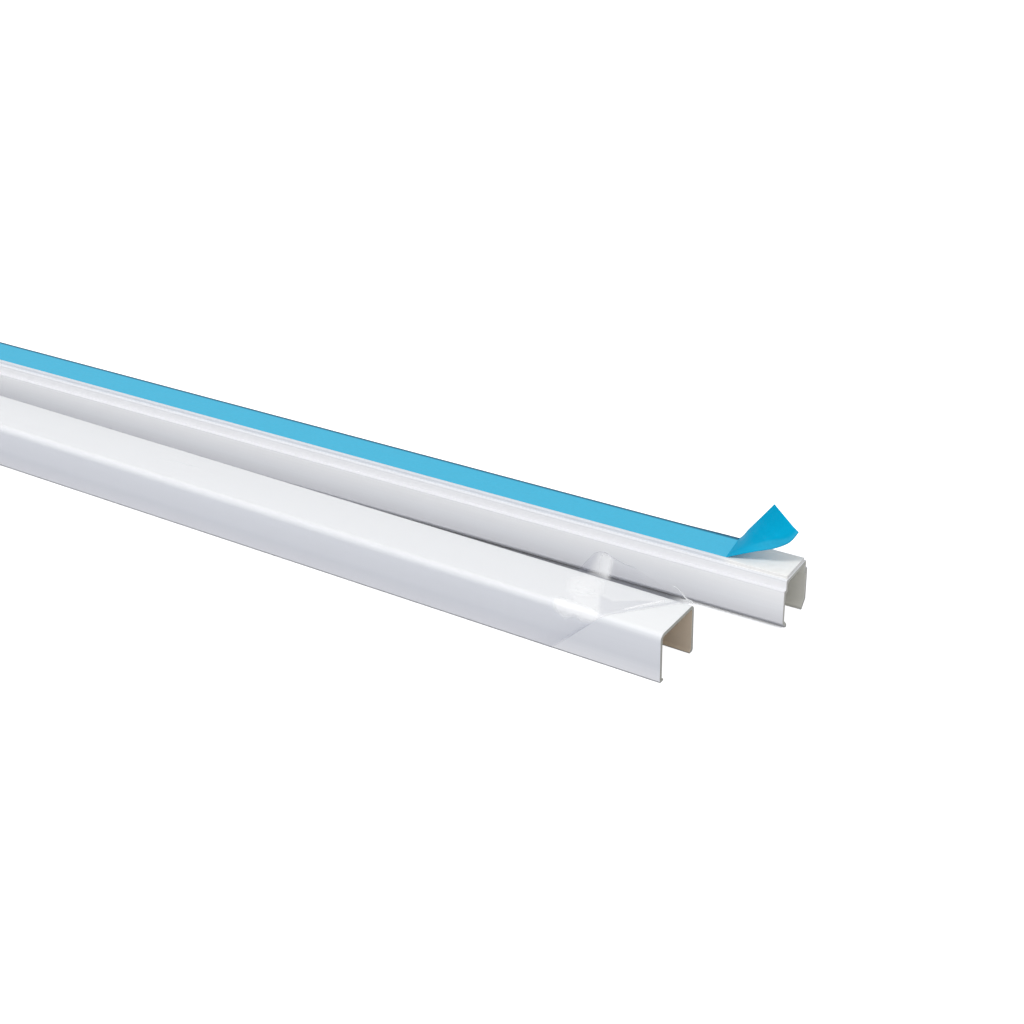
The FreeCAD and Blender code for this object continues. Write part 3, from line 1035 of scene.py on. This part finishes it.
def build_world():
    """White behind everything for the camera, and a dimmer, slightly cool surround that lights the object."""
    world = bpy.data.worlds.new("studio")
    bpy.context.scene.world = world
    world.use_nodes = True
    tree = world.node_tree
    tree.nodes.clear()
    path = add(tree, "ShaderNodeLightPath")
    seen = add(tree, "ShaderNodeMath", {
        0: path.outputs["Is Camera Ray"],
        1: path.outputs["Is Transmission Ray"],
    }, operation="MAXIMUM")
    heading = add(tree, "ShaderNodeTexCoord").outputs["Generated"]
    glow = toward(tree, heading, ROOM_BRIGHT, ROOM_EDGE, ROOM_LEAST, ROOM_MOST)
    light = toward(tree, heading, LIGHT_FROM, LIGHT_EDGE, LIGHT_LEAST, LIGHT_MOST)
    white = add(tree, "ShaderNodeBackground", Color=(1, 1, 1, 1), Strength=1.0)
    surround = add(tree, "ShaderNodeBackground", {"Strength": light}, Color=srgb("#FAFBFE"))
    room = add(tree, "ShaderNodeBackground", {"Strength": glow}, Color=(1, 1, 1, 1))
    glossy = path.outputs["Is Glossy Ray"]
    lit = add(tree, "ShaderNodeMixShader", {0: glossy, 1: surround.outputs[0], 2: room.outputs[0]})
    both = add(tree, "ShaderNodeMixShader", {0: seen.outputs[0], 1: lit.outputs[0], 2: white.outputs[0]})
    output = add(tree, "ShaderNodeOutputWorld")
    tree.links.new(both.outputs[0], output.inputs["Surface"])


# The one lamp, in metres: what it is aimed at, from the base's near end, and its place from there
KEY_AIM = (-0.1, -0.02, 0.01)
KEY_FROM = (-0.15, -1.3, 1.87)
KEY_SIZE = 0.4
KEY_POWER = 22.0


def add_key_lamp(base_place):
    """A small lamp in front and above, which gives the lifted liner's crisp shadow on the tape."""
    data = bpy.data.lights.new("key", "AREA")
    data.shape = "DISK"
    data.size = KEY_SIZE
    data.energy = KEY_POWER
    lamp = bpy.data.objects.new("key", data)
    bpy.context.scene.collection.objects.link(lamp)
    lamp.location = base_place @ Vector(KEY_AIM) + Vector(KEY_FROM)
    lamp.rotation_euler = (-Vector(KEY_FROM)).to_track_quat("-Z", "Y").to_euler()


# The photograph's view: direction, roll, and the eye's place from the base's near end, in mm
VIEW_AZIMUTH = math.radians(32.071)
VIEW_ELEVATION = math.radians(28.751)
VIEW_ROLL = math.radians(-1.325)
EYE = (187.78, -471.93, 316.20)
FOCAL_PIXELS = 1801.0
IMAGE_PIXELS = 1024
SENSOR = 36.0


def build_camera(base_place):
    data = bpy.data.cameras.new("camera")
    data.sensor_width = SENSOR
    data.lens = SENSOR * FOCAL_PIXELS / IMAGE_PIXELS
    data.clip_start = 0.01
    camera = bpy.data.objects.new("camera", data)
    bpy.context.scene.collection.objects.link(camera)
    az = VIEW_AZIMUTH
    el = VIEW_ELEVATION
    ahead = Vector((-math.sin(az) * math.cos(el), math.cos(az) * math.cos(el), -math.sin(el)))
    level = Vector((math.cos(az), math.sin(az), 0))
    up = level.cross(ahead)
    right = level * math.cos(VIEW_ROLL) + up * math.sin(VIEW_ROLL)
    up = up * math.cos(VIEW_ROLL) - level * math.sin(VIEW_ROLL)
    turn = Matrix((right, up, -ahead)).transposed().to_4x4()
    eye = base_place @ (Vector(EYE) * MM)
    camera.matrix_world = Matrix.Translation(eye) @ turn
    bpy.context.scene.camera = camera


def build_scene():
    scene = bpy.context.scene
    scene.view_settings.view_transform = "Standard"
    low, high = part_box("base_channel")
    length = high[0] - low[0]
    # Each channel's PVC in three: the skin, with light and shade painted by height; the inside, painted with
    # warm light; the cut ends, painted darker and warmer as shade
    base_pvc = [
        extruded_pvc("extruded_rigid_pvc_base", BASE_LIGHT_AND_SHADE_TONES, 0, 0.38),
        extruded_pvc("extruded_rigid_pvc_base_inside", BASE_INSIDE_WARM_LIGHT_TONES, 0, 0.42),
        cut_pvc("sawn_rigid_pvc_base", "#D4D3CB", "#C6C5BC"),
    ]
    cover_pvc = [
        extruded_pvc("extruded_rigid_pvc_cover", COVER_LIGHT_AND_SHADE_TONES, COVER_TURN, 0.34),
        extruded_pvc("extruded_rigid_pvc_cover_inside", COVER_INSIDE_WARM_LIGHT_TONES, COVER_TURN, 0.42),
        cut_pvc("sawn_rigid_pvc_cover", "#C4C3BA", "#B4B3A9"),
    ]
    base_place = build_base(base_pvc)
    place = cover_place()
    build_cover(place, length, cover_pvc)
    build_tape(foam_tape())
    build_liner(siliconised_liner())
    build_film(place, length, clear_film())
    build_floor()
    build_world()
    add_key_lamp(base_place)
    build_camera(base_place)


build_scene()
